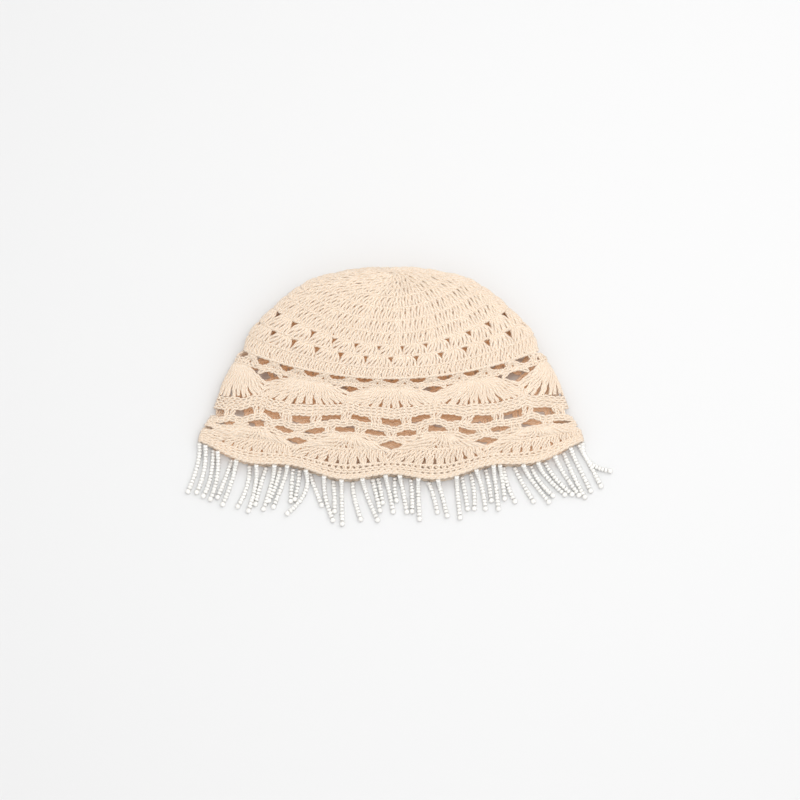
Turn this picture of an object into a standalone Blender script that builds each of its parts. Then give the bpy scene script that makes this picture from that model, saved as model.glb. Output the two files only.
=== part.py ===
"""A crocheted openwork cap with a fringe of bead strings, lying flat on a table.

The cap is one worked piece: a plain crown, two rounds of clusters, a round of arches, a
tier of shell fans, a mesh, a second tier of fans and a hem. It lies on its back with the
crown end away from the hem, so it has an upper and a lower layer with a hollow between.
The fringe is a cord round the hem that carries the strings of beads.

+X runs along the hem, +Y from the hem to the crown, +Z up. Z = 0 is the table.
"""

import bisect
import math
from typing import NamedTuple

import bmesh
import bpy
from mathutils import Vector

MM = 0.001

# Driving sizes of the cap, in metres
HEM_WIDTH = 0.2712
CAP_DEPTH = 0.1488
CROWN_HEIGHT = 0.046
WALL = 0.0025
SCALLOP = 0.0025
SETTLE_BAND = 0.0025

# Counts of the crochet pattern
CLUSTERS = 24
FANS = 8
COLUMNS = 2 * CLUSTERS
FOLD_REACH = 2

# Driving sizes of the fringe, in metres
CORD_RADIUS = 0.00125
STRING_RADIUS = 0.0015
BEAD_RADIUS = 0.002
SEAT_GAP = 0.0003

# Shape of one string. LANDING is the share of its length in which it comes down to the
# table, TUBE_STEPS the shares where its tube has a ring of corners, and the bead columns
# how far from the tip, in bead radii, the tube narrows and the end bead is widest.
LANDING = 0.35
TUBE_STEPS = (0.0, 0.18, 0.5)
NECK_REACH = 1.7
BEAD_REACH = 0.9
NECK_WIDTH = 0.9
TIP_WIDTH = 0.6

# How far inside the hem, in stations, the way that the cloth points there is measured
HEM_LOOK_BACK = 0.5

# How finely a round is measured before its stitches are spaced along it
RING_SAMPLES = 720


class Section(NamedTuple):
    """One round of the cap, in shares of the driving sizes.

    width is a share of half of HEM_WIDTH, the y columns are shares of CAP_DEPTH and the z
    columns shares of CROWN_HEIGHT. front is the middle of the upper layer, side the fold
    at either side, back the middle of the lower layer before it settles on the table.
    """

    name: str
    width: float
    front_y: float
    side_y: float
    back_y: float
    front_z: float
    side_z: float
    back_z: float


SECTIONS = [
    Section("crown_tip", 0.000, 0.957, 0.957, 0.957, 0.641, 0.641, 0.641),
    Section("crown_1", 0.100, 0.904, 0.964, 0.993, 0.754, 0.630, 0.452),
    Section("crown_2", 0.199, 0.859, 0.962, 0.999, 0.863, 0.598, 0.259),
    Section("crown_3", 0.299, 0.813, 0.953, 0.975, 0.954, 0.543, 0.070),
    Section("crown_4", 0.392, 0.756, 0.940, 0.925, 0.991, 0.489, -0.10),
    Section("crown_5", 0.474, 0.696, 0.904, 0.850, 0.978, 0.446, -0.20),
    Section("crown_6", 0.544, 0.638, 0.862, 0.780, 0.943, 0.413, -0.25),
    Section("crown_7", 0.613, 0.583, 0.806, 0.710, 0.902, 0.380, -0.25),
    Section("clusters_1", 0.689, 0.534, 0.739, 0.648, 0.859, 0.348, -0.25),
    Section("clusters_2", 0.743, 0.480, 0.678, 0.585, 0.811, 0.315, -0.25),
    Section("dome_edge", 0.770, 0.436, 0.606, 0.530, 0.765, 0.293, -0.25),
    Section("upper_fans", 0.806, 0.413, 0.576, 0.474, 0.659, 0.239, -0.20),
    Section("mesh_top", 0.885, 0.312, 0.427, 0.360, 0.533, 0.207, -0.20),
    Section("lower_fans", 0.942, 0.208, 0.288, 0.239, 0.424, 0.174, -0.15),
    Section("fan_tier", 0.976, 0.126, 0.235, 0.144, 0.337, 0.152, -0.12),
    Section("fan_edge", 0.995, 0.050, 0.188, 0.057, 0.270, 0.137, -0.10),
    Section("hem", 1.000, 0.000, 0.163, 0.000, 0.239, 0.130, -0.10),
]
STATION = {section.name: index for index, section in enumerate(SECTIONS)}


class Openings(NamedTuple):
    """A round of holes: where its band lies, how they are spaced and how big they are.

    start and end are stations, count the holes that fit round the cap, phase the middle of
    the first in units of that spacing, reach the width of the cells that a hole takes in
    the same units, top, bottom and tall the hole's share of those cells. skip leaves out
    every skip-th hole, so that a fan's base stays whole.
    """

    name: str
    start: float
    end: float
    count: int
    phase: float
    reach: float
    top: float
    bottom: float
    tall: float
    skip: int


OPENINGS = [
    Openings("first_clusters", 7, 8, CLUSTERS, 0.5, 1.0, 0.30, 0.46, 0.56, 0),
    Openings("second_clusters", 8, 9, CLUSTERS, 0.0, 1.0, 0.30, 0.46, 0.50, 0),
    Openings("arches", 10, 11, CLUSTERS, 0.0, 1.0, 0.62, 0.78, 0.62, 0),
    Openings("upper_mesh", 12, 12.5, CLUSTERS, 0.0, 1.0, 0.74, 0.62, 0.56, 0),
    Openings("lower_mesh", 12.5, 13, CLUSTERS, 0.5, 1.0, 0.70, 0.62, 0.58, 3),
    Openings("fan_gaps", 13, 13.5, FANS, 0.0, 2 / 3, 0.30, 0.86, 0.66, 0),
]

# Stations where the cap's grid has a round of corners
GRID_STATIONS = [1, 2.75, 4.75, 7, 8, 9, 10, 11, 12, 12.5, 13, 13.5, 16]


class BeadString(NamedTuple):
    """One string of the fringe, with its route chosen by hand, in millimetres.

    layer is the layer of the hem that it hangs from, hem_x where it starts there, bend and
    tip the middle and the end of its route, measured from its start.
    """

    layer: str
    hem_x: float
    bend_x: float
    bend_y: float
    tip_x: float
    tip_y: float


STRINGS = [
    BeadString("back", -137, -1.5, -16, -8, -35),
    BeadString("front", -131, -1.5, -19, -6.5, -33.5),
    BeadString("back", -126, -2, -20.5, -7, -33.5),
    BeadString("front", -122, -1, -19.5, -5.5, -34),
    BeadString("back", -113, -5, -15, -10, -27.5),
    BeadString("front", -109, -4.5, -16.5, -10, -31),
    BeadString("back", -100, -2, -16, -8.5, -29.5),
    BeadString("front", -95, -1.5, -16.5, -6, -32),
    BeadString("back", -88, -4, -12.5, -7.5, -27),
    BeadString("front", -82, -3, -14.5, -8, -30.5),
    BeadString("back", -78, -3, -12.5, -8, -24.5),
    BeadString("front", -73, -3.5, -11.5, -10, -28.5),
    BeadString("back", -69, -1, -12.5, -1.5, -24),
    BeadString("back", -65, -1.5, -13, -3.5, -21.5),
    BeadString("front", -60, -1, -15.5, -13.5, -30),
    BeadString("back", -58, 4.5, -12, 9, -23.5),
    BeadString("front", -47, 1, -14.5, 6.5, -30.5),
    BeadString("back", -41, 1, -11, 1, -22.5),
    BeadString("front", -35, 0, -13, 0.5, -30.5),
    BeadString("back", -27, 1.5, -12.5, 6, -27),
    BeadString("front", -20, 4, -12.5, 11, -28.5),
    BeadString("back", -13, 2.5, -10, 5.5, -23),
    BeadString("back", -9, 2, -8.5, 3.5, -18),
    BeadString("front", -4, 3, -12, 5.5, -25),
    BeadString("back", 3, -0.5, -7, 1, -17),
    BeadString("front", 6, 2.5, -10.5, 5, -25),
    BeadString("back", 14, 1, -10.5, 1, -23.5),
    BeadString("front", 19, 0, -12, 1, -28),
    BeadString("back", 26, 3.5, -9, 6.5, -22),
    BeadString("front", 33, 3, -10, 6.5, -24.5),
    BeadString("front", 46, 1, -12.5, 2.5, -28.5),
    BeadString("back", 50, 2.5, -13, 4, -23.5),
    BeadString("back", 56, 2.5, -12.5, 2.5, -25.5),
    BeadString("front", 60, 4.5, -12.5, 6.5, -27),
    BeadString("back", 67, 2.5, -12, 4, -23),
    BeadString("front", 72, 2, -14, 3.5, -30),
    BeadString("front", 77, 2, -10, 3.5, -23),
    BeadString("back", 80, 2.5, -12.5, 8, -25),
    BeadString("back", 87, 6, -12, 13.5, -25),
    BeadString("front", 93, 8, -12, 18.5, -25.5),
    BeadString("back", 99, 6, -11.5, 15.5, -21.5),
    BeadString("front", 104, 8, -11, 19.5, -22),
    BeadString("back", 109, 8, -12.5, 19.5, -23.5),
    BeadString("front", 116, 8.5, -14.5, 17.5, -27.5),
    BeadString("back", 122, 7.5, -18, 15, -32.5),
    BeadString("front", 127, 8, -16.5, 14.5, -30.5),
    BeadString("back", 133, 9, -16.5, 15.5, -30),
    BeadString("back", 136, 5.5, -14, 20, -19.5),
]


def section_at(station):
    """The section's lengths in metres at a whole or part station, on a smooth curve."""
    last = len(SECTIONS) - 1
    station = min(max(station, 0), last)
    low = min(int(station), last - 1)
    part = station - low
    scale = [HEM_WIDTH / 2] + [CAP_DEPTH] * 3 + [CROWN_HEIGHT] * 3
    lengths = []
    for column, size in enumerate(scale, start=1):
        here = SECTIONS[low][column]
        there = SECTIONS[low + 1][column]
        before = SECTIONS[low - 1][column] if low > 0 else 2 * here - there
        after = SECTIONS[low + 2][column] if low + 2 <= last else 2 * there - here
        bent = 2 * here + (there - before) * part
        bent += (2 * before - 5 * here + 4 * there - after) * part ** 2
        bent += (3 * here - before - 3 * there + after) * part ** 3
        lengths.append(bent / 2 * size)
    return lengths


def settled(height):
    """The height of the cloth's middle once whatever would sink lies on the table."""
    above = height - WALL / 2
    if above < -SETTLE_BAND:
        above = 0.0
    elif above < SETTLE_BAND:
        above = (above + SETTLE_BAND) ** 2 / (4 * SETTLE_BAND)
    return above + WALL / 2


def ring_point(lengths, angle):
    """A point of one round: angle 0 is its front, a right angle its fold at +X."""
    width, front_y, side_y, back_y, front_z, side_z, back_z = lengths
    turn = math.cos(angle)
    y = side_y + (front_y - back_y) / 2 * turn
    y += ((front_y + back_y) / 2 - side_y) * turn ** 2
    z = side_z + (front_z - back_z) / 2 * turn
    z += ((front_z + back_z) / 2 - side_z) * turn ** 2
    return Vector((width * math.sin(angle), y, settled(z)))


def scallop_at(share, station):
    """How far the hem is drawn out below each lower fan."""
    start = STATION["lower_fans"]
    ramp = min(max((station - start) / (STATION["hem"] - start), 0), 1)
    return SCALLOP * ramp * math.cos(2 * math.pi * (FANS * share - 0.5))


class Round:
    """One round of the cap, measured so that stitches are spaced evenly along it."""

    def __init__(self, station):
        self.station = station
        lengths = section_at(station)
        angles = [2 * math.pi * k / RING_SAMPLES for k in range(RING_SAMPLES + 1)]
        self.points = [ring_point(lengths, angle) for angle in angles]
        self.along = [0.0]
        for first, second in zip(self.points, self.points[1:]):
            self.along.append(self.along[-1] + (second - first).length)

    def at(self, share):
        """The point at a share of the way round, 0 at the front and 1/4 near +X."""
        target = (share % 1.0) * self.along[-1]
        high = min(max(bisect.bisect_right(self.along, target), 1), RING_SAMPLES)
        step = self.along[high] - self.along[high - 1]
        part = (target - self.along[high - 1]) / step if step > 0 else 0.0
        point = self.points[high - 1].lerp(self.points[high], part)
        point.y -= scallop_at(share, self.station)
        return point


ROUNDS = {}


def cap_point(share, station):
    """The middle of the cap's wall at a share of the way round and a station."""
    if station not in ROUNDS:
        ROUNDS[station] = Round(station)
    return ROUNDS[station].at(share)


def grid_shares():
    """The shares where the grid has a column: even, and closer together at the folds."""
    shares = [k / COLUMNS for k in range(COLUMNS)]
    for fold in (0.25, 0.75):
        first = round(fold * COLUMNS) - FOLD_REACH
        shares += [(first + k + 0.5) / COLUMNS for k in range(2 * FOLD_REACH)]
    return sorted(shares)


def opening_centres(row):
    """The shares at the middles of one round of openings."""
    centres = []
    for index in range(row.count):
        if row.skip and index % row.skip == 1:
            continue
        centres.append(((index + row.phase) / row.count) % 1.0)
    return centres


def share_gap(share, centre):
    """How far one share of the way round is from another, the short way."""
    return (share - centre + 0.5) % 1.0 - 0.5


def hole_side(mesh, row, centre, end, wide, count):
    """The corners along one side of a hole, in the direction of growing share."""
    middle = (row.start + row.end) / 2
    station = middle + (end - middle) * row.tall
    reach = row.reach / row.count / 2 * wide
    return [mesh.verts.new(cap_point(centre + reach * (2 * k / (count - 1) - 1), station))
            for k in range(count)]


def frame_opening(mesh, row, centre, upper, lower):
    """Faces round one hole, out to the grid's corners above (upper) and below (lower).

    A hole on flat cloth has four corners, one that bends round a fold one at each column.
    """
    count = 2 if len(upper) <= COLUMNS // row.count + 1 else len(upper)
    top = hole_side(mesh, row, centre, row.start, row.top, count)
    bottom = hole_side(mesh, row, centre, row.end, row.bottom, count)
    if count == 2:
        mesh.faces.new(upper + top[::-1])
        mesh.faces.new(bottom + lower[::-1])
    else:
        for k in range(count - 1):
            mesh.faces.new((upper[k], upper[k + 1], top[k + 1], top[k]))
            mesh.faces.new((bottom[k], bottom[k + 1], lower[k + 1], lower[k]))
    mesh.faces.new((upper[0], top[0], bottom[0], lower[0]))
    mesh.faces.new((top[-1], upper[-1], lower[-1], bottom[-1]))


def cap_surface():
    """The middle of the cap's wall as an open mesh, with its openings left out."""
    mesh = bmesh.new()
    shares = grid_shares()
    rows = [[mesh.verts.new(cap_point(share, station)) for share in shares]
            for station in GRID_STATIONS]
    tip = mesh.verts.new(cap_point(0.0, STATION["crown_tip"]))
    count = len(shares)
    for index in range(count):
        mesh.faces.new((tip, rows[0][(index + 1) % count], rows[0][index]))
    for upper, lower, station in zip(rows, rows[1:], GRID_STATIONS):
        taken = set()
        for row in (row for row in OPENINGS if row.start == station):
            reach = row.reach / row.count / 2 + 1e-6
            for centre in opening_centres(row):
                columns = [index for index, share in enumerate(shares)
                           if abs(share_gap(share, centre)) <= reach]
                columns.sort(key=lambda index: share_gap(shares[index], centre))
                frame_opening(mesh, row, centre, [upper[k] for k in columns],
                              [lower[k] for k in columns])
                taken.update(columns[:-1])
        for index in range(count):
            if index not in taken:
                after = (index + 1) % count
                mesh.faces.new((upper[index], upper[after], lower[after], lower[index]))
    bmesh.ops.recalc_face_normals(mesh, faces=mesh.faces)
    return mesh


def finish(name, colour, roughness):
    """A plain material with the colour and roughness of one part."""
    material = bpy.data.materials.new(name)
    material.use_nodes = True
    shader = material.node_tree.nodes["Principled BSDF"]
    shader.inputs["Base Color"].default_value = (*colour, 1.0)
    shader.inputs["Roughness"].default_value = roughness
    shader.inputs["Metallic"].default_value = 0.0
    return material


def crochet_cap(collection):
    """The worked cap: one pierced wall, open at the hem."""
    data = bpy.data.meshes.new("crochet_cap")
    surface = cap_surface()
    surface.to_mesh(data)
    surface.free()
    data.shade_smooth()
    cap = bpy.data.objects.new("crochet_cap", data)
    collection.objects.link(cap)
    wall = cap.modifiers.new("wall", "SOLIDIFY")
    wall.thickness = WALL
    wall.offset = 0.0
    data.materials.append(finish("cream_cotton", (0.93, 0.80, 0.64), 0.9))
    return cap


def hem_point(share):
    """Where the fringe's cord lies, and the way that the cloth points out of the hem."""
    last = STATION["hem"]
    edge = cap_point(share, last)
    outward = (edge - cap_point(share, last - HEM_LOOK_BACK)).normalized()
    place = edge + outward * (CORD_RADIUS + SEAT_GAP)
    place.z = max(place.z, CORD_RADIUS)
    return place, outward


def share_at(hem_x, layer):
    """The share of the way round where one layer of the hem crosses a distance along X."""
    best = None
    for step in range(RING_SAMPLES):
        share = step / RING_SAMPLES
        if (abs(share_gap(share, 0.0)) < 0.25) != (layer == "front"):
            continue
        miss = abs(cap_point(share, STATION["hem"]).x - hem_x * MM)
        if best is None or miss < best[0]:
            best = (miss, share)
    return best[1]


def string_route(string):
    """The points and the radius shares of one string, from the cord to its last bead."""
    start, outward = hem_point(share_at(string.hem_x, string.layer))
    start = start + outward * (CORD_RADIUS / 2)
    bend = start + Vector((string.bend_x, string.bend_y, 0)) * MM
    tip = start + Vector((string.tip_x, string.tip_y, 0)) * MM
    pull = 2 * bend - (start + tip) / 2
    length = (tip - start).length
    rings = [(share, 1.0) for share in TUBE_STEPS]
    rings.append((1 - NECK_REACH * BEAD_RADIUS / length, NECK_WIDTH))
    rings.append((1 - BEAD_REACH * BEAD_RADIUS / length, BEAD_RADIUS / STRING_RADIUS))
    rings.append((1.0, TIP_WIDTH))
    points = []
    for share, radius in rings:
        point = (1 - share) ** 2 * start + 2 * share * (1 - share) * pull
        point += share ** 2 * tip
        fall = max(1 - share / LANDING, 0) ** 2
        rest = STRING_RADIUS * max(radius, 1)
        point.z = rest + max(start.z - rest, 0) * fall
        points.append((point, radius))
    return points


def mesh_object(name, curve_object, collection):
    """A mesh made from a curve, with its caps welded, in place of the curve."""
    graph = bpy.context.evaluated_depsgraph_get()
    data = bpy.data.meshes.new_from_object(curve_object.evaluated_get(graph))
    data.name = name
    made = bpy.data.objects.new(name, data)
    made.matrix_world = curve_object.matrix_world.copy()
    bpy.data.objects.remove(curve_object)
    welded = bmesh.new()
    welded.from_mesh(data)
    bmesh.ops.remove_doubles(welded, verts=welded.verts, dist=0.00001)
    welded.to_mesh(data)
    welded.free()
    collection.objects.link(made)
    return made


def tube(name, routes, radius, resolution, closed, collection):
    """Round tubes through points, each point with its share of the radius."""
    data = bpy.data.curves.new(name, "CURVE")
    data.dimensions = "3D"
    data.bevel_depth = radius
    data.bevel_resolution = resolution
    data.use_fill_caps = not closed
    for route in routes:
        spline = data.splines.new("POLY")
        spline.points.add(len(route) - 1)
        spline.use_cyclic_u = closed
        for place, (point, share) in zip(spline.points, route):
            place.co = (*point, 1.0)
            place.radius = share
    curve = bpy.data.objects.new(name + "_curve", data)
    collection.objects.link(curve)
    bpy.context.view_layer.update()
    return mesh_object(name, curve, collection)


def bead_fringe(collection, cutters):
    """The cord along the hem and every bead string, as one body."""
    cord = [(hem_point(share)[0], 1.0) for share in grid_shares()]
    fringe = tube("bead_fringe", [cord], CORD_RADIUS, 1, True, collection)
    routes = [string_route(string) for string in STRINGS]
    strings = tube("string_tubes", routes, STRING_RADIUS, 2, False, cutters)
    strings.hide_render = True
    strings.display_type = "WIRE"
    join = fringe.modifiers.new("strings", "BOOLEAN")
    join.operation = "UNION"
    join.solver = "EXACT"
    join.use_self = True
    join.object = strings
    fringe.data.materials.append(finish("pearl_white_beads", (0.92, 0.91, 0.90), 0.25))
    return fringe


def centred(pieces):
    """The move that puts the middle of the whole object's foot over the origin."""
    graph = bpy.context.evaluated_depsgraph_get()
    corners = []
    for piece in pieces:
        data = piece.evaluated_get(graph).to_mesh()
        corners += [corner.co.copy() for corner in data.vertices]
    low = Vector([min(corner[axis] for corner in corners) for axis in range(3)])
    high = Vector([max(corner[axis] for corner in corners) for axis in range(3)])
    return Vector((-(low.x + high.x) / 2, -(low.y + high.y) / 2, -low.z))


def main():
    """Build the cap and its fringe, and stand them over the origin."""
    for item in list(bpy.data.objects):
        bpy.data.objects.remove(item)
    collection = bpy.data.collections.new("fringed_cap")
    bpy.context.scene.collection.children.link(collection)
    cutters = bpy.data.collections.new("cutters")
    bpy.context.scene.collection.children.link(cutters)
    pieces = [crochet_cap(collection), bead_fringe(collection, cutters)]
    holder = bpy.data.objects.new("table_middle", None)
    collection.objects.link(holder)
    holder.location = centred(pieces)
    for piece in pieces + list(cutters.objects):
        piece.parent = holder


main()
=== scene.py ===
"""The looks of a crocheted openwork cap with a fringe of bead strings, lying flat.

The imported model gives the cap's wall and its strings as plain solids. This script works the
cap in yarn on the same surface, stitch by stitch, and threads the fringe bead by bead. Every
length is in metres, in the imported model's own frame.
"""

import logging
import math
from dataclasses import dataclass, field
from enum import Enum

import bpy
import numpy as np
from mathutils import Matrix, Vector


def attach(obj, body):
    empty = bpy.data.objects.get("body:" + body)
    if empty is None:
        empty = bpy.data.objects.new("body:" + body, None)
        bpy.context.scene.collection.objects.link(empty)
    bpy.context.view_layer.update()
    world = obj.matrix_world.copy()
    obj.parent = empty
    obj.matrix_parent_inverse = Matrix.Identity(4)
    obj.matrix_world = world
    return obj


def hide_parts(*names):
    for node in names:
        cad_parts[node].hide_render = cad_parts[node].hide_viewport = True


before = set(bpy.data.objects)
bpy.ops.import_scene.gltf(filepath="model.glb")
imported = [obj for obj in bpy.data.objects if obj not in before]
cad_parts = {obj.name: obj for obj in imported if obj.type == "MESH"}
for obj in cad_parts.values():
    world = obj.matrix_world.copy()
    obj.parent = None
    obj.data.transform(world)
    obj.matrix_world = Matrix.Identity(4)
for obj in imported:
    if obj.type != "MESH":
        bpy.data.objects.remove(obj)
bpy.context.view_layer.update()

LOG = logging.getLogger("fringed_cap")
MM = 0.001
TURN = 2 * math.pi


class Slot(Enum):
    """The record's material slots."""

    COTTON = "cream_cotton"
    BEADS = "pearl_white_beads"


class Node(Enum):
    """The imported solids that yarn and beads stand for."""

    CAP = "crochet_cap"
    FRINGE = "bead_fringe"


class Layer(Enum):
    """The layer of the hem that a string hangs from."""

    UPPER = "front"
    LOWER = "back"


# The cloth's surface


@dataclass(frozen=True)
class Section:
    """One round of the cap: its half width, and how far back and up its layers lie.

    The width is a share of half the hem's width, the y columns are shares of the cap's
    depth and the z columns of the crown's height, as in the part's source.
    """

    name: str
    width: float
    front_y: float
    side_y: float
    back_y: float
    front_z: float
    side_z: float
    back_z: float


SECTIONS = (
    Section("crown_tip", 0.000, 0.957, 0.957, 0.957, 0.641, 0.641, 0.641),
    Section("crown_1", 0.100, 0.904, 0.964, 0.993, 0.754, 0.630, 0.452),
    Section("crown_2", 0.199, 0.859, 0.962, 0.999, 0.863, 0.598, 0.259),
    Section("crown_3", 0.299, 0.813, 0.953, 0.975, 0.954, 0.543, 0.070),
    Section("crown_4", 0.392, 0.756, 0.940, 0.925, 0.991, 0.489, -0.10),
    Section("crown_5", 0.474, 0.696, 0.904, 0.850, 0.978, 0.446, -0.20),
    Section("crown_6", 0.544, 0.638, 0.862, 0.780, 0.943, 0.413, -0.25),
    Section("crown_7", 0.613, 0.583, 0.806, 0.710, 0.902, 0.380, -0.25),
    Section("clusters_1", 0.689, 0.534, 0.739, 0.648, 0.859, 0.348, -0.25),
    Section("clusters_2", 0.743, 0.480, 0.678, 0.585, 0.811, 0.315, -0.25),
    Section("dome_edge", 0.770, 0.436, 0.606, 0.530, 0.765, 0.293, -0.25),
    Section("upper_fans", 0.806, 0.413, 0.576, 0.474, 0.659, 0.239, -0.20),
    Section("mesh_top", 0.885, 0.312, 0.427, 0.360, 0.533, 0.207, -0.20),
    Section("lower_fans", 0.942, 0.208, 0.288, 0.239, 0.424, 0.174, -0.15),
    Section("fan_tier", 0.976, 0.126, 0.235, 0.144, 0.337, 0.152, -0.12),
    Section("fan_edge", 0.995, 0.050, 0.188, 0.057, 0.270, 0.137, -0.10),
    Section("hem", 1.000, 0.000, 0.163, 0.000, 0.239, 0.130, -0.10),
)


TWIST_STEPS = ((9.6, 0.0), (10.8, 1.0), (14.0, 0.7), (15.2, 0.0))
SLACK_STEPS = ((11.0, 0.0), (11.8, 0.88), (12.2, 1.0), (13.4, 0.8), (14.2, 0.5), (15.2, 0.0))


def unit(vectors: np.ndarray) -> np.ndarray:
    """Vectors of length one along the last axis."""
    return vectors / np.maximum(np.linalg.norm(vectors, axis=-1, keepdims=True), 1e-12)


def curve(before: np.ndarray, here: np.ndarray, there: np.ndarray, after: np.ndarray,
          t: np.ndarray | float) -> np.ndarray:
    """The smooth curve's point at a share t of the way from here to there.

    Args:
        before: The point before the step.
        here: Where the step starts.
        there: Where it ends.
        after: The point after it.
        t: The share of the step.

    Returns:
        The point.
    """
    return 0.5 * (2 * here + (there - before) * t
                  + (2 * before - 5 * here + 4 * there - after) * t ** 2
                  + (3 * here - before - 3 * there + after) * t ** 3)


def smooth(points: np.ndarray, per_step: int) -> np.ndarray:
    """Rounds routes off with a curve through their points.

    Args:
        points: Routes, shaped (routes, points, 3).
        per_step: How many steps each step becomes.

    Returns:
        The finer routes.
    """
    first = 2 * points[:, :1] - points[:, 1:2]
    last = 2 * points[:, -1:] - points[:, -2:-1]
    row = np.concatenate([first, points, last], axis=1)
    parts = [curve(row[:, :-3], row[:, 1:-2], row[:, 2:-1], row[:, 3:], step / per_step)
             for step in range(per_step)]
    woven = np.stack(parts, axis=2).reshape(len(points), -1, 3)
    return np.concatenate([woven, points[:, -1:]], axis=1)


def along(run: np.ndarray, points: np.ndarray, where: np.ndarray) -> np.ndarray:
    """Places on a route, at lengths of its run from the start."""
    return np.stack([np.interp(where, run, points[:, k]) for k in range(3)], axis=-1)


@dataclass
class Cloth:
    """The middle of the cap's wall, measured by share of the way round and by station."""

    hem_width: float = 0.2712
    depth: float = 0.1488
    crown_height: float = 0.046
    wall: float = 0.0025
    scallop: float = 0.0025
    scallop_from: float = 13.0
    settle_band: float = 0.0025
    fans: int = 8
    slack: float = 0.40
    twist: float = 0.5 / 24
    middle: tuple[float, float, float] = (-0.005618, -0.057615, 0.0)
    share_steps: int = 1440
    station_steps: int = 20
    stray_seed: int = 40
    places: np.ndarray = field(init=False)
    outs: np.ndarray = field(init=False)

    def __post_init__(self) -> None:
        """Measure the surface once, on a fine grid."""
        last = len(SECTIONS) - 1
        stations = np.linspace(0, last, last * self.station_steps + 1)
        rows = [self._round(lengths, station)
                for lengths, station in zip(self._lengths(stations), stations)]
        self.places = np.stack(rows) + np.array(self.middle)
        around = np.gradient(self.places, axis=1)
        around[:, 0] = around[:, -1] = self.places[:, 1] - self.places[:, -2]
        down = np.gradient(self.places, axis=0)
        outs = unit(np.cross(down, around))
        outs[:3] = outs[3]
        self.outs = outs

    def _lengths(self, stations: np.ndarray) -> np.ndarray:
        """The seven lengths of the sections at stations, on a smooth curve.

        Args:
            stations: Stations along the cap.

        Returns:
            Lengths, shaped (stations, 7).
        """
        shares = np.array([[s.width, s.front_y, s.side_y, s.back_y,
                            s.front_z, s.side_z, s.back_z] for s in SECTIONS])
        scale = [self.hem_width / 2] + [self.depth] * 3 + [self.crown_height] * 3
        table = shares * np.array(scale)
        padded = np.vstack([2 * table[0] - table[1], table, 2 * table[-1] - table[-2]])
        low = np.minimum(stations.astype(int), len(table) - 2)
        part = (stations - low)[:, None]
        return curve(*(padded[low + k] for k in range(4)), part)

    def _round(self, lengths: np.ndarray, station: float) -> np.ndarray:
        """One round's points at even shares of its length.

        Args:
            lengths: The round's seven lengths.
            station: Its station.

        Returns:
            Points, shaped (share steps + 1, 3).
        """
        width, front_y, side_y, back_y, front_z, side_z, back_z = lengths
        angles = np.linspace(0, TURN, self.share_steps + 1)
        turn = np.cos(angles)
        y = side_y + (front_y - back_y) / 2 * turn
        y += ((front_y + back_y) / 2 - side_y) * turn ** 2
        z = side_z + (front_z - back_z) / 2 * turn
        z += ((front_z + back_z) / 2 - side_z) * turn ** 2
        above = z - self.wall / 2
        band = self.settle_band
        soft = (above + band) ** 2 / (4 * band)
        z = np.where(above < -band, 0.0, np.where(above < band, soft, above))
        points = np.stack([width * np.sin(angles), y, z + self.wall / 2], axis=1)
        steps = np.linalg.norm(np.diff(points, axis=0), axis=1)
        run = np.concatenate([[0.0], np.cumsum(steps)])
        shares = np.linspace(0, 1, self.share_steps + 1)
        if run[-1] > 0:
            points = along(run, points, shares * run[-1])
        hem = len(SECTIONS) - 1
        ramp = min(max((station - self.scallop_from) / (hem - self.scallop_from), 0), 1)
        points[:, 1] -= self.scallop * ramp * np.cos(TURN * (self.fans * shares - 0.5))
        return points

    def at(self, share: np.ndarray, station: np.ndarray) -> tuple[np.ndarray, np.ndarray]:
        """Places on the surface, and the way out of the cloth there.

        The lower layer's rounds lie a little nearer the hem, by the slack, and turned
        round the cap against the upper layer's, by the twist.

        Args:
            share: Shares of the way round, 0 at the front, any whole number added.
            station: Stations, in the same shape.

        Returns:
            Places and unit vectors, each with a last axis of three.
        """
        share, station = np.broadcast_arrays(share, station)
        under = (1 - np.cos(TURN * share)) / 2
        turned, ahead = (np.interp(station, *zip(*steps))
                         for steps in (TWIST_STEPS, SLACK_STEPS))
        share = share + self.twist * under ** 1.5 * turned
        station = station + self.slack * under * ahead
        across = (share % 1.0) * self.share_steps
        down = np.clip(station, 0, len(SECTIONS) - 1) * self.station_steps
        i = np.minimum(across.astype(int), self.share_steps - 1)
        j = np.minimum(down.astype(int), len(self.places) - 2)
        f, g = (across - i)[..., None], (down - j)[..., None]
        found = []
        for grid in (self.places, self.outs):
            found.append((grid[j, i] * (1 - f) + grid[j, i + 1] * f) * (1 - g)
                         + (grid[j + 1, i] * (1 - f) + grid[j + 1, i + 1] * f) * g)
        return found[0], unit(found[1])

    @property
    def shares(self) -> np.ndarray:
        """Even shares of the whole way round."""
        return np.linspace(0, 1, self.share_steps + 1)

    def wave(self, share: np.ndarray) -> np.ndarray:
        """1 below the middle of each upper fan and -1 between two of them."""
        return np.cos(TURN * self.fans * np.asarray(share))

    def stray(self, share: np.ndarray, kind: int) -> np.ndarray:
        """The smooth unevenness of hand work round the cap, about 1 at most.

        Args:
            share: Shares of the way round.
            kind: Which of the uneven rounds this is.

        Returns:
            How far off its place the work lies at each share.
        """
        chance = np.random.default_rng(self.stray_seed + kind)
        total = np.zeros(np.shape(share))
        for waves in (13, 22, 29, 41):
            total = total + np.cos(TURN * (waves * np.asarray(share) + chance.uniform()))
        return total / 2.5


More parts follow.
